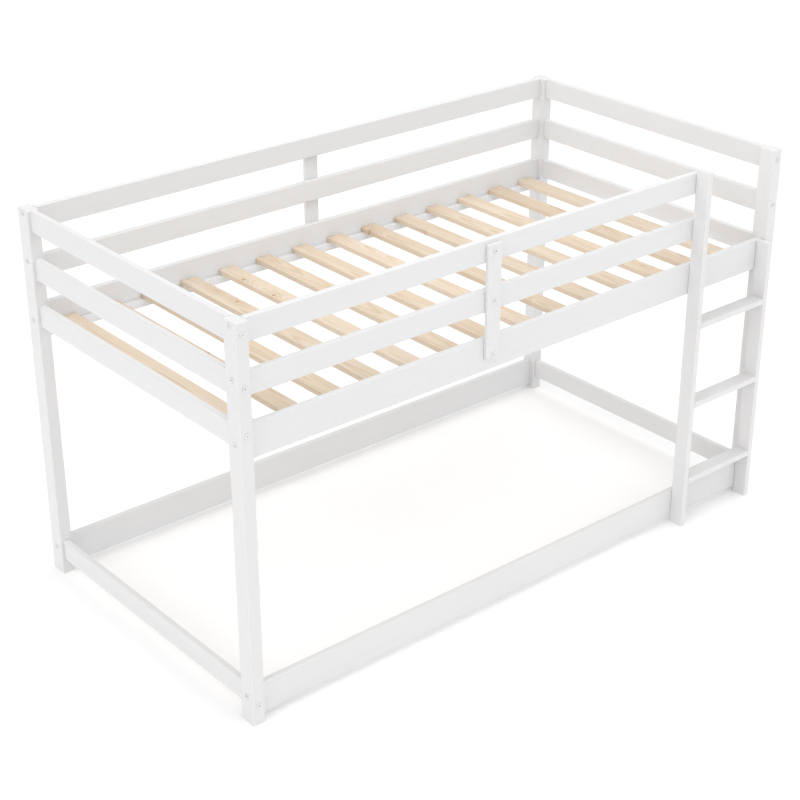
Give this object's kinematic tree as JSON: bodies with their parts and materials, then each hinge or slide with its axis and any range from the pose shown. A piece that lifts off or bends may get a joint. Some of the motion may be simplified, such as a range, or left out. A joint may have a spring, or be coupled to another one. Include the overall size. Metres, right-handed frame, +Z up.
{
  "type": "bunk bed with ladder",
  "caption": "Low white-painted pine bunk bed: slatted upper deck with guard rails all round, open lower bunk on the floor, and an upright ladder at the right end of its front.",
  "frame": {"origin": "on the floor, in the middle of the whole footprint, ladder and bolt heads included", "axes": "+Z up, +X along the bed towards the ladder, +Y from the ladder side to the rear"},
  "size_m": [2.034, 1.086, 1.19],
  "materials": {
    "painted_pine": "satin white paint over pine",
    "natural_pine": "planed, unfinished",
    "nickel_steel": "nickel-plated",
    "zinc_steel": "zinc-plated",
    "beech": "fluted dowel, unfinished"
  },
  "bodies": {
    "root": {"post_front_left": "painted_pine", "post_front_right": "painted_pine", "post_rear_left": "painted_pine", "post_rear_right": "painted_pine", "front_floor_rail": "painted_pine", "front_deck_rail": "painted_pine", "front_middle_guard": "painted_pine", "front_top_guard": "painted_pine", "rear_floor_rail": "painted_pine", "rear_deck_rail": "painted_pine", "rear_middle_guard": "painted_pine", "rear_top_guard": "painted_pine", "left_end_floor_rail": "painted_pine", "left_end_deck_rail": "painted_pine", "left_end_middle_rail": "painted_pine", "left_end_top_rail": "painted_pine", "right_end_floor_rail": "painted_pine", "right_end_deck_rail": "painted_pine", "right_end_middle_rail": "painted_pine", "right_end_top_rail": "painted_pine", "ladder_stile_left": "painted_pine", "ladder_stile_right": "painted_pine", "ladder_rung_lower": "painted_pine", "ladder_rung_middle": "painted_pine", "ladder_rung_upper": "painted_pine", "front_batten": "painted_pine", "rear_batten": "painted_pine", "slat_cleat_front": "painted_pine", "slat_cleat_rear": "painted_pine", "slat_01": "natural_pine", "slat_02": "natural_pine", "slat_03": "natural_pine", "slat_04": "natural_pine", "slat_05": "natural_pine", "slat_06": "natural_pine", "slat_07": "natural_pine", "slat_08": "natural_pine", "slat_09": "natural_pine", "slat_10": "natural_pine", "slat_11": "natural_pine", "slat_12": "natural_pine", "slat_13": "natural_pine", "slat_14": "natural_pine", "side_rail_bolts": "nickel_steel", "end_rail_bolts": "nickel_steel", "batten_bolts": "nickel_steel", "batten_insert_nuts": "nickel_steel", "barrel_nuts": "zinc_steel", "wood_dowels": "beech", "slat_screws": "zinc_steel", "cleat_screws": "zinc_steel", "ladder_screws": "zinc_steel"}
  },
  "joints": []
}
